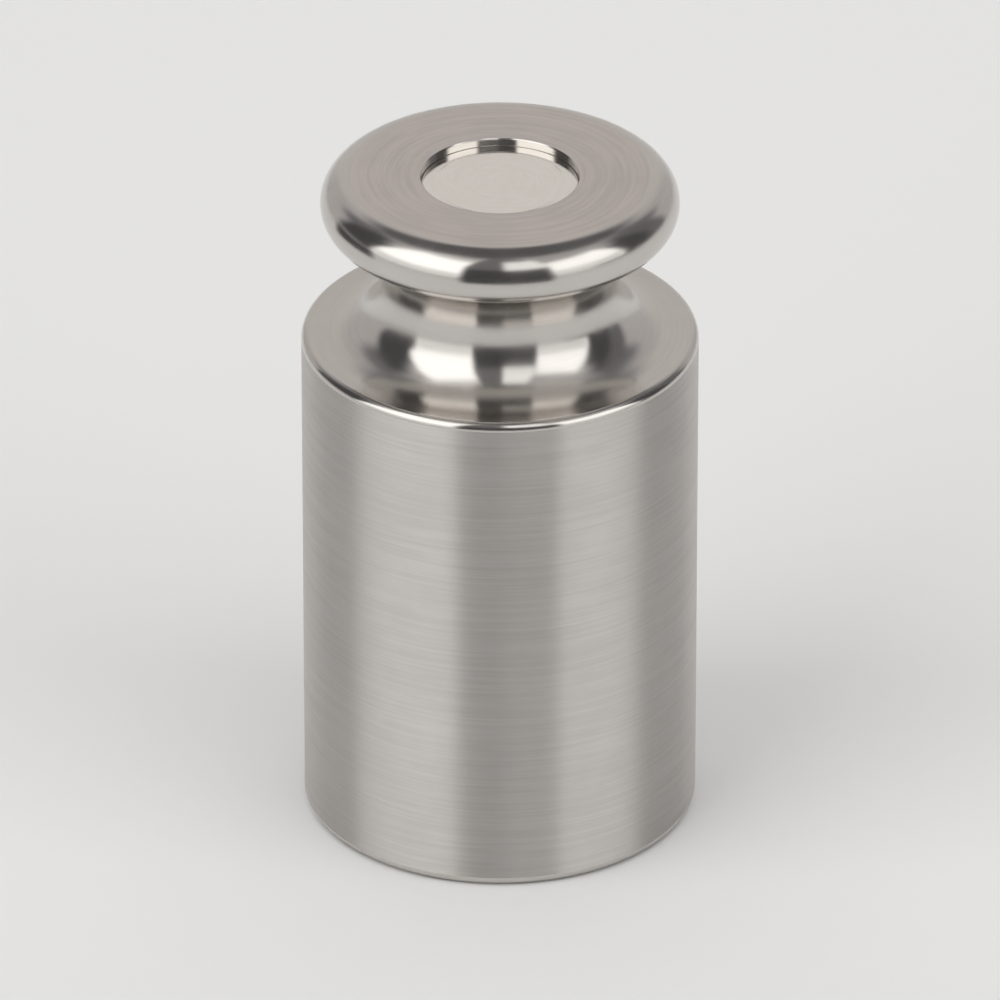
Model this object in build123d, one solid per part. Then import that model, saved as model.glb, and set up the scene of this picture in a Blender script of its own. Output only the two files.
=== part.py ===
from build123d import *
import math
import os

# A 2 kg knob weight: a stainless steel cylinder with a round-edged lifting knob on a waisted neck.
# It is turned from one bar. A bore from the top of the knob holds adjusting shot, a threaded plug
# closes the bore, and a soft disc pressed into the mouth of the bore seals it.
# Millimetres. The origin is the centre of the base, and everything is turned about +Z.

# Outside
base_diameter = 60.0
base_height = 80.1  # base to shoulder: the length that brings the weight to its nominal mass
base_edge_radius = 1.5
shoulder_edge_radius = 1.25
knob_inset = 3.0  # from the side of the base in to the side of the knob
knob_edge_radius = 4.5  # the rim of the knob is fully rounded
neck_groove_radius = 9.0  # the neck is a round groove this deep

# Mouth in the top of the knob, and the disc that seals it
mouth_diameter = 23.7
lip_chamfer = 0.15
seal_depth = 1.25  # top of the knob down to the face of the disc
disc_thickness = 2.0
disc_seat_width = 1.85  # floor of the mouth that the disc rests on
sealing_groove_depth = 0.6
sealing_groove_width = 0.8

# Closing plug, in a hole drawn at the major diameter of its thread
plug_height = 9.0
plug_headroom = 0.5  # left above the plug, so that the disc seats on the floor of the mouth
plug_seat_width = 1.5  # step over the cavity that the plug bears on
plug_chamfer = 0.75
slot_width = 2.5
slot_depth = 3.0

# Adjusting cavity and the shot in it
cavity_floor = 20.0  # solid steel left under the cavity
shot_diameter = 5.5
shot_layers = 5

# Clearances
disc_clearance = 0.05  # round the disc and its bead
thread_clearance = 0.05  # between the plug and its hole, on the radius
shot_clearance = 0.05  # between the shot and what it rests on

# Radii that follow from these
base_radius = base_diameter / 2
knob_radius = base_radius - knob_inset
mouth_radius = mouth_diameter / 2
thread_radius = mouth_radius - disc_seat_width
cavity_radius = thread_radius - plug_seat_width
shot_radius = shot_diameter / 2

# The groove of the neck starts on the shoulder, under the side of the knob, and sweeps round into
# the rim of the knob, which turns the other way by the same angle to reach the flat top.
arc_distance = neck_groove_radius + knob_edge_radius
neck_sweep = 180 - math.degrees(math.asin(knob_edge_radius / arc_distance))
rim_rise = math.sqrt(arc_distance**2 - knob_edge_radius**2)
total_height = base_height + neck_groove_radius + rim_rise + knob_edge_radius

# Heights down the bore
seal_top = total_height - seal_depth
seal_middle = seal_top - disc_thickness / 2
mouth_floor = seal_top - disc_thickness
plug_top = mouth_floor - plug_headroom
plug_seat = plug_top - plug_height

upwards = (Align.CENTER, Align.CENTER, Align.MIN)
downwards = (Align.CENTER, Align.CENTER, Align.MAX)


def bore(top, bottom, radius):
    """Cut a round, flat-bottomed hole down the axis of the piece being built."""
    with Locations((0, 0, bottom)):
        Cylinder(radius, top - bottom, align=upwards, mode=Mode.SUBTRACT)


def weight_body():
    """Base, neck and knob in one turned piece, bored from the top."""
    with BuildPart() as body:
        with BuildSketch(Plane.XZ):
            with BuildLine():
                base = Polyline((0, total_height), (0, 0), (base_radius - base_edge_radius, 0))
                foot = JernArc(base @ 1, (1, 0), base_edge_radius, 90)
                side = Line(foot @ 1, (base_radius, base_height - shoulder_edge_radius))
                edge = JernArc(side @ 1, (0, 1), shoulder_edge_radius, 90)
                shoulder = Line(edge @ 1, (knob_radius, base_height))
                neck = JernArc(shoulder @ 1, (-1, 0), neck_groove_radius, -neck_sweep)
                rim = JernArc(neck @ 1, neck % 1, knob_edge_radius, neck_sweep)
                Line(rim @ 1, base @ 0)
            make_face()
        revolve(axis=Axis.Z)
        bore(total_height, mouth_floor, mouth_radius)
        lip = body.edges().filter_by(GeomType.CIRCLE).group_by(Axis.Z)[-1].sort_by(SortBy.RADIUS)[0]
        chamfer(lip, lip_chamfer)
        groove_bottom = seal_middle - sealing_groove_width / 2
        bore(groove_bottom + sealing_groove_width, groove_bottom, mouth_radius + sealing_groove_depth)
        bore(mouth_floor, plug_seat, thread_radius)
        bore(plug_seat, cavity_floor, cavity_radius)
    return body.part


def closing_plug():
    """Threaded plug with chamfered ends and a screwdriver slot, down on the step over the cavity."""
    plug_radius = thread_radius - thread_clearance
    with BuildPart(Location((0, 0, plug_seat))) as plug:
        Cylinder(plug_radius, plug_height, align=upwards)
        chamfer(plug.edges(), plug_chamfer)
        with Locations((0, 0, plug_height)):
            Box(2 * plug_radius, slot_width, slot_depth, align=downwards, mode=Mode.SUBTRACT)
    return plug.part


def sealing_disc():
    """Soft metal disc on the floor of the mouth, with the bead that pressing forced into the groove."""
    bead_radius = mouth_radius + sealing_groove_depth - disc_clearance
    with BuildPart(Location((0, 0, seal_middle))) as disc:
        Cylinder(mouth_radius - disc_clearance, disc_thickness)
        Cylinder(bead_radius, sealing_groove_width - 2 * disc_clearance)
    return disc.part


def shot_layer():
    """Places of the balls in one layer, in rings from the wall of the cavity inwards."""
    places = []
    ring_radius = cavity_radius - shot_radius - shot_clearance
    while ring_radius >= 0:
        if ring_radius > shot_radius:
            count = math.floor(math.pi / math.asin(shot_radius / ring_radius))
            places.extend(PolarLocations(ring_radius, count))
        else:
            places.append(Location())
        ring_radius -= shot_diameter + shot_clearance
    return places


def adjusting_shot():
    """Steel balls on the floor of the cavity, in layers that are each turned against the one below."""
    balls = []
    for layer in range(shot_layers):
        height = cavity_floor + shot_radius + shot_clearance + layer * (shot_diameter + shot_clearance)
        turned = Pos(0, 0, height) * Rot(0, 0, 30 * layer)
        balls.extend(turned * place * Sphere(shot_radius) for place in shot_layer())
    return Compound(children=balls)


os.makedirs("parts", exist_ok=True)
export_step(weight_body(), "parts/body.step")
export_step(closing_plug(), "parts/closing_plug.step")
export_step(sealing_disc(), "parts/sealing_disc.step")
export_step(adjusting_shot(), "parts/adjusting_shot.step")
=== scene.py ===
import bpy
import numpy as np
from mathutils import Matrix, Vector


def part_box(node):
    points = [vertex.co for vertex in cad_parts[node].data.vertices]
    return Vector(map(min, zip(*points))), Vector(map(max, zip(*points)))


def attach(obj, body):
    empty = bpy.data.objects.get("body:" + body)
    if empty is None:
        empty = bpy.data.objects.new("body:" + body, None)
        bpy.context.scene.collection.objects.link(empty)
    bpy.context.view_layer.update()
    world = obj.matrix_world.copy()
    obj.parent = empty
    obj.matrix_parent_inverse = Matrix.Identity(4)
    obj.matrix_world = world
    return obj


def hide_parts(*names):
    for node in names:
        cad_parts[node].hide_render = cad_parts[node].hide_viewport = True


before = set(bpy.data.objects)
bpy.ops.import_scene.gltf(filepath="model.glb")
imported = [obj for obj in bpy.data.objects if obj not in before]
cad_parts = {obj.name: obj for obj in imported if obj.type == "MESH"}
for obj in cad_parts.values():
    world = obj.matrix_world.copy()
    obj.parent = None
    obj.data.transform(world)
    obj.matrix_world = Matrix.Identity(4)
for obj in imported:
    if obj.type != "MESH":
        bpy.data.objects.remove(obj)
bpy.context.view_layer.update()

# ---- The weight itself -----------------------------------------------------------------------
# One length of stainless steel bar, turned to shape and bored from the top of its knob. The knob,
# the neck and the shoulder are polished to a mirror, the long side is finished with a fine belt,
# and the flat faces keep the fine rings of the facing tool.
mm = 0.001
body_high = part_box("body")[1]
base_radius = body_high.x
top = body_high.z
base_edge = 1.5 * mm
shoulder_edge = 1.25 * mm
knob_inset = 3.0 * mm
knob_radius = base_radius - knob_inset
rim_radius = 4.5 * mm
neck_groove = 9.0 * mm
mouth_radius = 11.85 * mm
lip = 0.15 * mm
seal_groove_depth = 0.6 * mm
seal_groove_width = 0.8 * mm
steps_round = 384
guard = 0.04 * mm  # from each end of a straight run to a ring that keeps the run's shading flat

# The neck's arc leaves the shoulder and meets the arc of the rim where both have one tangent.
reach = neck_groove + rim_radius
sweep = 180 - np.degrees(np.arcsin(rim_radius / reach))
rim_centre = top - rim_radius
neck_centre = rim_centre - np.sqrt(reach**2 - rim_radius**2)
shoulder = neck_centre - neck_groove

# The bore: a mouth for the sealing disc, a hole for the plug and a cavity for the shot, with a
# step under each that carries what sits on it.
disc_step = 1.85 * mm
plug_step = 1.5 * mm
disc_low, disc_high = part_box("sealing_disc")
seal_middle = (disc_low.z + disc_high.z) / 2
seal_groove_top = seal_middle + seal_groove_width / 2
seal_groove_low = seal_middle - seal_groove_width / 2
seal_groove_radius = mouth_radius + seal_groove_depth
thread_radius = mouth_radius - disc_step
plug_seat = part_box("closing_plug")[0].z
cavity_radius = thread_radius - plug_step
cavity_floor = 20.0 * mm


def straight(*corners):
    """Outline through the corners, with a guard ring close to each end of every straight run."""
    points = [np.array(corners[0])]
    for start, end in zip(np.array(corners[:-1]), np.array(corners[1:])):
        inset = (end - start) * guard / np.linalg.norm(end - start)
        points += [start + inset, end - inset, end]
    return np.array(points)


def arc(centre, radius, start, sweep, step=2.0):
    """Round stretch of an outline: the centre plus the radius times (cos a, sin a), where the
    angle a goes from start through sweep degrees in even steps of at most `step` degrees."""
    angle = np.radians(np.linspace(start, start + sweep, int(np.ceil(abs(sweep) / step)) + 1))
    return np.array(centre) + radius * np.stack([np.cos(angle), np.sin(angle)], axis=1)


def turned(name, stretches, finishes):
    """Closed surface of revolution. Its outline is the stretches joined end to end, each a finish
    and the points that wear it, as (distance from the axis, height). A point of the outline at the
    angle a round the axis lies at (distance * cos a, distance * sin a, height). The first and
    last points are on the axis, and each is one vertex."""
    outline = np.concatenate([stretches[0][1][:1]] + [points[1:] for _, points in stretches])
    worn = np.concatenate([np.full(len(points) - 1, finishes.index(wear)) for wear, points in stretches])
    angle = np.linspace(0, 2 * np.pi, steps_round, endpoint=False)
    distance, height = outline[1:-1, 0, None], outline[1:-1, 1, None]
    rings = np.stack([distance * np.cos(angle), distance * np.sin(angle), height + 0 * angle], -1)
    poles = np.array([[0, 0, outline[0, 1]], [0, 0, outline[-1, 1]]])
    here = np.arange(steps_round)
    after = (here + 1) % steps_round
    row = np.arange(len(outline) - 3)[:, None] * steps_round
    quads = np.stack([row + here, row + after, row + steps_round + after, row + steps_round + here], -1)
    last_ring = (len(outline) - 3) * steps_round
    first_pole = np.full(steps_round, len(outline[1:-1]) * steps_round)
    first_fan = np.stack([first_pole, after, here], -1)
    last_fan = np.stack([last_ring + here, last_ring + after, first_pole + 1], -1)
    faces = quads.reshape(-1, 4).tolist() + first_fan.tolist() + last_fan.tolist()
    mesh = bpy.data.meshes.new(name)
    mesh.from_pydata(np.concatenate([rings.reshape(-1, 3), poles]), [], faces)
    for finish in finishes:
        mesh.materials.append(finish)
    worn = np.concatenate([np.repeat(worn[1:-1], steps_round), np.repeat(worn[[0, -1]], steps_round)])
    mesh.polygons.foreach_set("material_index", worn.astype(np.int32))
    mesh.shade_smooth()
    mesh.set_sharp_from_angle(angle=np.radians(30))
    piece = bpy.data.objects.new(name, mesh)
    bpy.context.scene.collection.objects.link(piece)
    return piece


def linear(hex_colour):
    """Linear RGBA of an sRGB hex colour: each channel by the standard's own curve."""
    channel = np.array([int(hex_colour[i : i + 2], 16) / 255 for i in (1, 3, 5)])
    curve = np.where(channel <= 0.04045, channel / 12.92, ((channel + 0.055) / 1.055) ** 2.4)
    return (*curve.tolist(), 1.0)


def add_node(tree, kind, inputs=None, **settings):
    """Add a node with its settings. inputs gives each socket a value or another node's output."""
    node = tree.nodes.new(kind)
    for name, value in settings.items():
        setattr(node, name, value)
    for name, value in (inputs or {}).items():
        if isinstance(value, bpy.types.NodeSocket):
            tree.links.new(value, node.inputs[name])
        else:
            node.inputs[name].default_value = value
    return node


def rings_of(tree, pitch, wander):
    """Noise that runs round the axis as a tool's or a belt's marks do. It is read at the distance
    from the axis and the height, both over the pitch, so that it changes quickly across the
    marks, and at the direction round the axis times wander, so that it changes slowly along."""
    place = add_node(tree, "ShaderNodeTexCoord").outputs["Object"]
    level = add_node(tree, "ShaderNodeVectorMath", {0: place, 1: (1, 1, 0)}, operation="MULTIPLY")
    distance = add_node(tree, "ShaderNodeVectorMath", {0: level.outputs[0]}, operation="LENGTH")
    unit = add_node(tree, "ShaderNodeVectorMath", {0: level.outputs[0]}, operation="NORMALIZE")
    toward = add_node(tree, "ShaderNodeSeparateXYZ", {0: unit.outputs[0]})
    height = add_node(tree, "ShaderNodeSeparateXYZ", {0: place})
    spot = {}
    for axis, value, factor in (
        ("X", distance.outputs["Value"], 1 / pitch),
        ("Y", height.outputs["Z"], 1 / pitch),
        ("Z", toward.outputs["X"], wander),
        ("W", toward.outputs["Y"], wander),
    ):
        product = add_node(tree, "ShaderNodeMath", {0: value, 1: factor}, operation="MULTIPLY")
        spot[axis] = product.outputs[0]
    fourth = spot.pop("W")
    first_three = add_node(tree, "ShaderNodeCombineXYZ", spot).outputs[0]
    inputs = {"Vector": first_three, "W": fourth, "Scale": 1.0, "Detail": 2.0, "Roughness": 0.6}
    return add_node(tree, "ShaderNodeTexNoise", inputs, noise_dimensions="4D").outputs["Fac"]


def lathe_finish(name, colours, roughness, drawn, pitch, depth, wander, cloud):
    """A metal finished while it turned. Rings of this pitch round the axis stand up by their depth,
    and clouds of the size given lie over them, as wiping and handling leave them. The colour runs
    between its two with three parts of rings to two of clouds, and the roughness between its two
    with the clouds. drawn, from 0 to 1, is how far the marks draw what the metal mirrors out across
    them: the tangent lies round the axis, and a quarter turn puts the wide side of the reflection
    across it. The metal keeps the default IOR."""
    finish = bpy.data.materials.new(name)
    finish.use_nodes = True
    tree = finish.node_tree
    shader = tree.nodes["Principled BSDF"]
    shader.inputs["Metallic"].default_value = 1.0
    shader.inputs["Anisotropic"].default_value = drawn
    shader.inputs["Anisotropic Rotation"].default_value = 0.25
    round_the_axis = add_node(tree, "ShaderNodeTangent", direction_type="RADIAL", axis="Z")
    tree.links.new(round_the_axis.outputs["Tangent"], shader.inputs["Tangent"])
    rings = rings_of(tree, pitch, wander)
    place = add_node(tree, "ShaderNodeTexCoord").outputs["Object"]
    inputs = {"Vector": place, "Scale": 1 / cloud, "Detail": 3.0}
    clouds = add_node(tree, "ShaderNodeTexNoise", inputs).outputs["Fac"]
    inputs = {"Factor": 0.4, "A": rings, "B": clouds}
    blend = add_node(tree, "ShaderNodeMix", inputs, data_type="FLOAT").outputs[0]
    tone = add_node(tree, "ShaderNodeValToRGB", {"Fac": blend})
    for stop, position, colour in zip(tone.color_ramp.elements, (0.4, 0.6), colours):
        stop.position = position
        stop.color = linear(colour)
    tree.links.new(tone.outputs["Color"], shader.inputs["Base Color"])
    inputs = {
        "Value": clouds,
        "From Min": 0.35,
        "From Max": 0.65,
        "To Min": roughness[0],
        "To Max": roughness[1],
    }
    dulled = add_node(tree, "ShaderNodeMapRange", inputs)
    tree.links.new(dulled.outputs[0], shader.inputs["Roughness"])
    inputs = {"Height": rings, "Distance": depth, "Strength": 1.0}
    raised = add_node(tree, "ShaderNodeBump", inputs)
    tree.links.new(raised.outputs["Normal"], shader.inputs["Normal"])
    return finish


# Stainless steel turned with a fine feed and then mopped bright, so that it mirrors the room. The
# mop's hairlines round the axis are a few hundredths of a millimetre wide. They are 0.3 mm here,
# too shallow to see, and draw what the metal mirrors out a little across them.
polished = lathe_finish(
    "polished_stainless_steel",
    colours=("#CBC7C2", "#CFCBC6"),
    roughness=(0.13, 0.17),
    drawn=0.92,
    pitch=0.3 * mm,
    depth=0.0008 * mm,
    wander=2.0,
    cloud=5.0 * mm,
)

# The same steel faced with a fine feed and left satin, which gives a soft grey sheen. The tool's
# rings are about 0.05 mm apart: they are drawn 0.7 mm apart, as faint soft rings.
faced = lathe_finish(
    "fine_faced_stainless_steel",
    colours=("#CAC5C1", "#D7CFC9"),
    roughness=(0.235, 0.26),
    drawn=0.0,
    pitch=0.7 * mm,
    depth=0.004 * mm,
    wander=1.4,
    cloud=8.0 * mm,
)

# The same steel finished with a fine belt, which draws every reflection out along the height into
# soft upright bands. Its lines of about 0.05 mm run round the side, and are drawn 0.4 mm wide.
belted = lathe_finish(
    "belted_stainless_steel",
    colours=("#CBC7C2", "#D5D1CD"),
    roughness=(0.37, 0.41),
    drawn=1.0,
    pitch=0.4 * mm,
    depth=0.006 * mm,
    wander=1.5,
    cloud=9.0 * mm,
)

# The same steel as the boring tool left it: duller and ringed, and hidden under the disc. Its
# rings are at the tool's real feed.
bored = lathe_finish(
    "bored_stainless_steel",
    colours=("#BAB5B0", "#C4BFBA"),
    roughness=(0.35, 0.45),
    drawn=0.0,
    pitch=0.3 * mm,
    depth=0.02 * mm,
    wander=1.0,
    cloud=5.0 * mm,
)

base_edge_centre = (base_radius - base_edge, base_edge)
shoulder_edge_centre = (base_radius - shoulder_edge, shoulder - shoulder_edge)
rim_inner = knob_radius - rim_radius
bore_corners = (
    (mouth_radius, seal_groove_top),
    (seal_groove_radius, seal_groove_top),
    (seal_groove_radius, seal_groove_low),
    (mouth_radius, seal_groove_low),
    (mouth_radius, disc_low.z),
    (thread_radius, disc_low.z),
    (thread_radius, plug_seat),
    (cavity_radius, plug_seat),
    (cavity_radius, cavity_floor),
    (0, cavity_floor),
)
stretches = [
    (faced, straight((0, 0), (base_radius - base_edge, 0))),
    (polished, arc(base_edge_centre, base_edge, -90, 90, step=6)),
    (belted, straight((base_radius, base_edge), (base_radius, shoulder - shoulder_edge))),
    (polished, arc(shoulder_edge_centre, shoulder_edge, 0, 90, step=6)),
    (polished, straight((base_radius - shoulder_edge, shoulder), (knob_radius, shoulder))),
    (polished, arc((knob_radius, neck_centre), neck_groove, 270, -sweep)),
    (polished, arc((rim_inner, rim_centre), rim_radius, 90 - sweep, sweep)),
    (faced, straight((rim_inner, top), (mouth_radius + lip, top))),
    (polished, straight((mouth_radius + lip, top), (mouth_radius, top - lip), bore_corners[0])),
    (bored, straight(*bore_corners)),
]
body = turned("turned_body", stretches, [polished, faced, belted, bored])
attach(body, "root")
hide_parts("body")

# ---- The adjusting shot ----------------------------------------------------------------------
# Steel balls, poured into the cavity until the weight has its nominal mass. They keep the shapes
# of their solids, and are sealed in out of sight.

# Steel tumbled smooth: a darker, even half-shine, with fine marks that run every way.
shot_steel = lathe_finish(
    "tumbled_shot_steel",
    colours=("#A6A4A2", "#ADABA9"),
    roughness=(0.20, 0.32),
    drawn=0.0,
    pitch=0.8 * mm,
    depth=0.01 * mm,
    wander=20.0,
    cloud=1.5 * mm,
)
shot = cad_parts["adjusting_shot"]
shot.data.materials.clear()
shot.data.materials.append(shot_steel)

# ---- The closing plug ------------------------------------------------------------------------
# A short stainless steel screw with a slot, turned down onto the step over the cavity. It keeps
# the shape of its solid, and is hidden under the disc.

# Stainless steel as it comes from the lathe: a grey half-shine with rings at the tool's feed.
plug_steel = lathe_finish(
    "turned_plug_steel",
    colours=("#BDB8B3", "#C7C2BD"),
    roughness=(0.25, 0.35),
    drawn=0.0,
    pitch=0.4 * mm,
    depth=0.02 * mm,
    wander=1.0,
    cloud=5.0 * mm,
)
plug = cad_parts["closing_plug"]
plug.data.materials.clear()
plug.data.materials.append(plug_steel)

# ---- The sealing disc ------------------------------------------------------------------------
# A disc of soft aluminium, dropped into the mouth of the bore and flattened with a punch, so that
# its edge swells into the groove. The punch leaves a faint ring inside the edge.
disc_clearance = 0.05 * mm
disc_radius = mouth_radius - disc_clearance
bead_radius = disc_high.x
bead_low = seal_middle - 0.35 * mm
bead_high = seal_middle + 0.35 * mm
disc_edge = 0.12 * mm
punch_ring = 9.9 * mm
punch_ring_half = 0.12 * mm
punch_ring_depth = 0.02 * mm

# Aluminium pressed against a smooth punch: brighter than the steel round it, and smooth enough to
# mirror the wall of the mouth near its edge. The punch's own rings are about 0.05 mm apart, and are
# drawn 0.5 mm apart.
pressed = lathe_finish(
    "pressed_aluminium",
    colours=("#EEEAE3", "#F2EFEA"),
    roughness=(0.11, 0.17),
    drawn=0.0,
    pitch=0.5 * mm,
    depth=0.002 * mm,
    wander=2.0,
    cloud=3.0 * mm,
)
under_and_side = straight(
    (0, disc_low.z),
    (disc_radius, disc_low.z),
    (disc_radius, bead_low),
    (bead_radius, bead_low),
    (bead_radius, bead_high),
    (disc_radius, bead_high),
    (disc_radius, disc_high.z - disc_edge),
)
rounded_edge = arc((disc_radius - disc_edge, disc_high.z - disc_edge), disc_edge, 0, 90, step=15)
face = straight(
    (disc_radius - disc_edge, disc_high.z),
    (punch_ring + punch_ring_half, disc_high.z),
    (punch_ring, disc_high.z - punch_ring_depth),
    (punch_ring - punch_ring_half, disc_high.z),
    (0, disc_high.z),
)
stretches = [(pressed, under_and_side), (pressed, rounded_edge), (pressed, face)]
disc = turned("pressed_disc", stretches, [pressed])
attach(disc, "root")
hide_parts("sealing_disc")

# ---- The studio ------------------------------------------------------------------------------
# A wide pale floor in a pale room under a dark ceiling. Two large soft lights and a smaller one
# stand in front, with dark gaps between and beside them for the polished metal to mirror.
room_level = 0.56
back_level = 0.66
ceiling_level = 0.13
gap_level = 0.085
world = bpy.data.worlds.new("studio_room")
bpy.context.scene.world = world
world.use_nodes = True
room = world.node_tree
direction = add_node(room, "ShaderNodeTexCoord").outputs["Generated"]


def azimuth_of(tree, place):
    """Azimuth of a point or a direction in degrees, from the front towards the right: the arc
    tangent of x over minus y."""
    parts = add_node(tree, "ShaderNodeSeparateXYZ", {0: place})
    forward = add_node(tree, "ShaderNodeMath", {0: parts.outputs["Y"], 1: -1.0}, operation="MULTIPLY")
    inputs = {0: parts.outputs["X"], 1: forward.outputs[0]}
    turn = add_node(tree, "ShaderNodeMath", inputs, operation="ARCTAN2")
    return add_node(tree, "ShaderNodeMath", {0: turn.outputs[0]}, operation="DEGREES").outputs[0]


def span(tree, value, low, high, soft):
    """1 where the value is between low and high, falling to 0 over soft at each end: the distance
    from the middle of the span, put through a smooth step about half the span."""
    half = (high - low) / 2
    offset = add_node(tree, "ShaderNodeMath", {0: value, 1: low + half}, operation="SUBTRACT")
    away = add_node(tree, "ShaderNodeMath", {0: offset.outputs[0]}, operation="ABSOLUTE")
    inputs = {
        "Value": away.outputs[0],
        "From Min": half - soft / 2,
        "From Max": half + soft / 2,
        "To Min": 1.0,
        "To Max": 0.0,
    }
    return add_node(tree, "ShaderNodeMapRange", inputs, interpolation_type="SMOOTHSTEP").outputs[0]


azimuth = azimuth_of(room, direction)
rise = add_node(room, "ShaderNodeSeparateXYZ", {0: direction}).outputs["Z"]
angle_up = add_node(room, "ShaderNodeMath", {0: rise}, operation="ARCSINE").outputs[0]
elevation = add_node(room, "ShaderNodeMath", {0: angle_up}, operation="DEGREES").outputs[0]
either_side = add_node(room, "ShaderNodeMath", {0: azimuth}, operation="ABSOLUTE").outputs[0]


def panel(below, level, across, up, soft, around=azimuth):
    """The level below, changed to this one inside a span of azimuth and one of elevation."""
    inputs = {0: span(room, around, *across, soft), 1: span(room, elevation, *up, soft)}
    inside = add_node(room, "ShaderNodeMath", inputs, operation="MULTIPLY").outputs[0]
    inputs = {"Factor": inside, "A": below, "B": level}
    return add_node(room, "ShaderNodeMix", inputs, data_type="FLOAT").outputs[0]


# All angles are in degrees. The back wall is a little brighter than the sides, and the dark of the
# ceiling is a round patch that leans back. Both sides of the room are dark behind the lights.
under_floor = -30
walls = panel(room_level, back_level, (158, 202), (under_floor, 90), 14, either_side)
ceiling_lean = np.radians(68)
inputs = {0: direction, 1: (0, np.cos(ceiling_lean), np.sin(ceiling_lean))}
along_axis = add_node(room, "ShaderNodeVectorMath", inputs, operation="DOT_PRODUCT").outputs["Value"]
lean = add_node(room, "ShaderNodeMath", {0: along_axis}, operation="ARCCOSINE").outputs[0]
off_axis = add_node(room, "ShaderNodeMath", {0: lean}, operation="DEGREES").outputs[0]
inputs = {"Value": off_axis, "From Min": 22.0, "From Max": 34.0, "To Min": ceiling_level, "To Max": walls}
level = add_node(room, "ShaderNodeMapRange", inputs, interpolation_type="SMOOTHSTEP").outputs[0]
level = panel(level, 0.20, (96, 140), (27, 54), 14, either_side)

# Each panel has its level, its spans of azimuth and of elevation, and how soft its edges are, and
# lies over those before it.
left_light = (-86, -24)
right_light = (32, 83)
middle_gap = (-24, 33)
lights_foot = (3, 18)
panels = (
    # The dark gaps at both sides, the right one with a softer border behind.
    (0.18, (60, 125), (under_floor, 50), 10),
    (gap_level, (60, 108), (under_floor, 50), 10),
    (gap_level, (-121, -60), (6, 50), 10),
    # A faint glow over both lights, and a stronger one over the left light.
    (0.5, (-100, 100), (44, 74), 12),
    (0.9, (-92, -20), (50, 73), 14),
    # The two lights, each dimmer at its foot.
    (1.8, left_light, (3, 63), 7),
    (1.65, right_light, (3, 52), 6),
    (1.0, left_light, lights_foot, 12),
    (0.95, right_light, lights_foot, 12),
    # The gap between them, which is lighter overhead, and the small light.
    (gap_level, middle_gap, (under_floor, 90), 7),
    (0.22, middle_gap, (38, 110), 12),
    (1.3, (3, 36), (37, 69), 8),
)
for panel_level, across, up, soft in panels:
    level = panel(level, panel_level, across, up, soft)

# The gaps are a little cool, the walls a little warm, and the lights white.
gap_tint = (0.97, 0.95, 1.0, 1.0)
wall_tint = (1.0, 0.962, 0.935, 1.0)
light_tint = (1.0, 1.0, 1.0, 1.0)
tint = add_node(room, "ShaderNodeValToRGB", {"Fac": level})
tint.color_ramp.elements.new(0.5)
tints = (gap_tint, wall_tint, light_tint)
for stop, position, colour in zip(tint.color_ramp.elements, (0.15, 0.66, 1.0), tints):
    stop.position = position
    stop.color = colour
room.links.new(tint.outputs["Color"], room.nodes["Background"].inputs["Color"])
room.links.new(level, room.nodes["Background"].inputs["Strength"])

# A wide soft light overhead opens the shadows on the floor. The metal doesn't mirror it.
overhead_level = 1.2
lamp = bpy.data.lights.new("overhead_light", "AREA")
lamp.size = 1.6
lamp.energy = overhead_level * np.pi * lamp.size**2
overhead = bpy.data.objects.new("overhead_light", lamp)
overhead.location = (0, 0.2, 1.6)
overhead.visible_camera = False
overhead.visible_glossy = False
bpy.context.scene.collection.objects.link(overhead)

# Two strips of dark card hang a little way out from the knob. They carry the front gap and the left
# gap down below the horizon for what the knob mirrors.
foot_distance = 75 * mm
foot_low = 88.5 * mm
foot_high = 107 * mm
foot_soft = 4 * mm
foot_margin = 3 * mm
foot_columns = 24
border = 7


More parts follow.
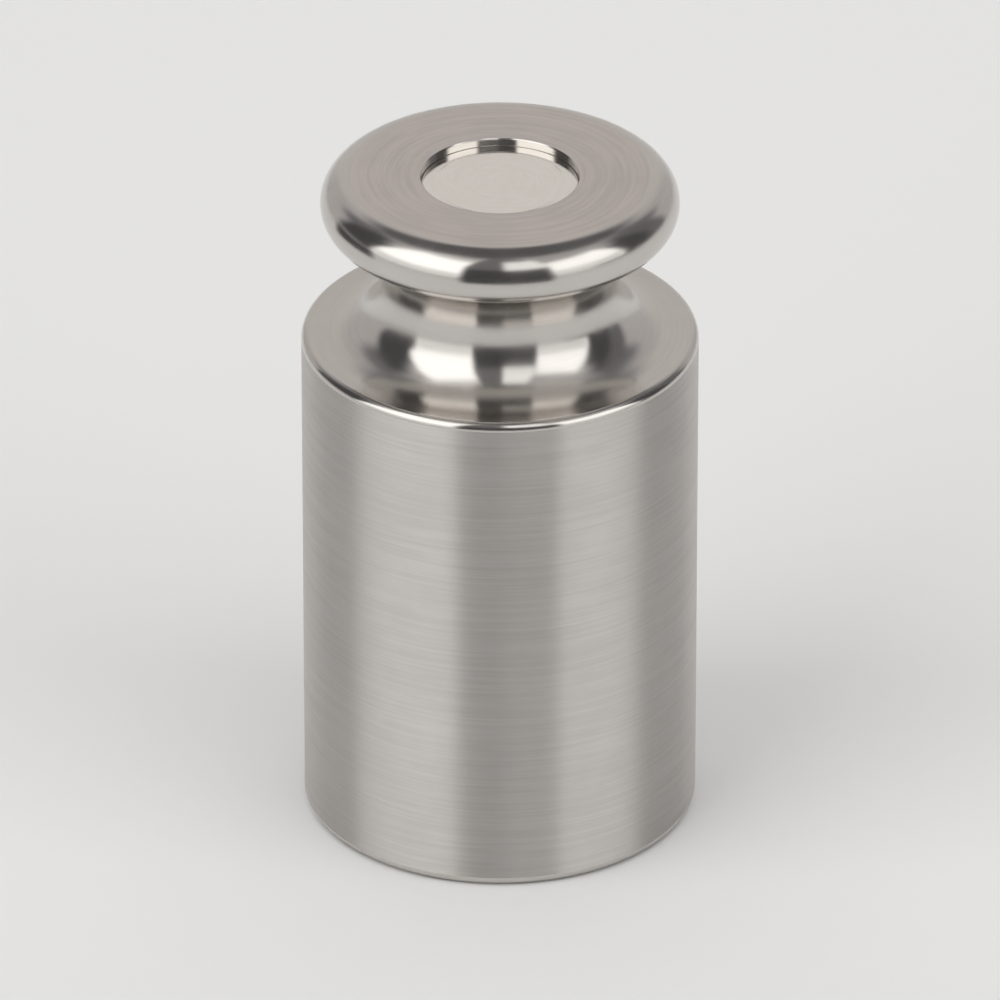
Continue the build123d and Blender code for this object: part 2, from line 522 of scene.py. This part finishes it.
def gap_foot(name, left, right):
    """Upright strip bent round the axis between two azimuths, in degrees: at the azimuth a its
    points lie at (distance * sin a, -distance * cos a). Only mirrored rays meet it, and it fades
    to clear over its border, so that no hard edge shows in the metal."""
    dark = bpy.data.materials.new(name)
    dark.use_nodes = True
    tree = dark.node_tree
    tree.nodes.clear()
    place = add_node(tree, "ShaderNodeTexCoord").outputs["Object"]
    height = add_node(tree, "ShaderNodeSeparateXYZ", {0: place}).outputs["Z"]
    inputs = {
        0: span(tree, azimuth_of(tree, place), left, right, border),
        1: span(tree, height, foot_low, foot_high, foot_soft),
    }
    shown = add_node(tree, "ShaderNodeMath", inputs, operation="MULTIPLY").outputs[0]
    clear = add_node(tree, "ShaderNodeBsdfTransparent").outputs[0]
    inputs = {"Color": gap_tint, "Strength": gap_level}
    glow = add_node(tree, "ShaderNodeEmission", inputs).outputs[0]
    cover = add_node(tree, "ShaderNodeMixShader", {0: shown, 1: clear, 2: glow})
    add_node(tree, "ShaderNodeOutputMaterial", {"Surface": cover.outputs[0]})
    a = np.radians(np.linspace(left - border, right + border, foot_columns + 1))
    line = np.stack([foot_distance * np.sin(a), -foot_distance * np.cos(a), 0 * a], -1)
    low, high = line + (0, 0, foot_low - foot_margin), line + (0, 0, foot_high + foot_margin)
    corners = np.array([0, 1, foot_columns + 2, foot_columns + 1])
    faces = np.arange(foot_columns)[:, None] + corners
    mesh = bpy.data.meshes.new(name)
    mesh.from_pydata(np.concatenate([low, high]), [], faces.tolist())
    mesh.materials.append(dark)
    strip = bpy.data.objects.new(name, mesh)
    strip.visible_camera = False
    strip.visible_diffuse = False
    strip.visible_shadow = False
    bpy.context.scene.collection.objects.link(strip)


gap_foot("front_gap_foot", -20, 27.5)
gap_foot("left_gap_foot", -104, -71)

# Matt white board: an even pale floor with hardly any shine, which keeps soft shadows.
board = bpy.data.materials.new("matt_white_board")
board.use_nodes = True
board_shader = board.node_tree.nodes["Principled BSDF"]
board_shader.inputs["Base Color"].default_value = linear("#ECECEB")
board_shader.inputs["Roughness"].default_value = 0.9
board_shader.inputs["Specular IOR Level"].default_value = 0.1
side = 4.0
corners = [(-side, -side, 0), (side, -side, 0), (side, side, 0), (-side, side, 0)]
floor_mesh = bpy.data.meshes.new("floor")
floor_mesh.from_pydata(corners, [], [(0, 1, 2, 3)])
floor_mesh.materials.append(board)
floor = bpy.data.objects.new("floor", floor_mesh)
bpy.context.scene.collection.objects.link(floor)

# ---- The camera ------------------------------------------------------------------------------
# It stands 28 degrees above the knob, with a very long lens two metres away, and looks at the
# middle of the weight.
camera_elevation = np.radians(28)
camera_distance = 2.1
frame_width = 0.150
aim_height = 0.0505
lens = bpy.data.cameras.new("camera")
lens.lens = lens.sensor_width * camera_distance / frame_width
away = camera_distance * np.cos(camera_elevation)
height = top + camera_distance * np.sin(camera_elevation)
camera = bpy.data.objects.new("camera", lens)
camera.location = (0, -away, height)
camera.rotation_euler = (np.pi / 2 - np.arctan2(height - aim_height, away), 0, 0)
bpy.context.scene.collection.objects.link(camera)
bpy.context.scene.camera = camera
bpy.context.scene.view_settings.view_transform = "Standard"
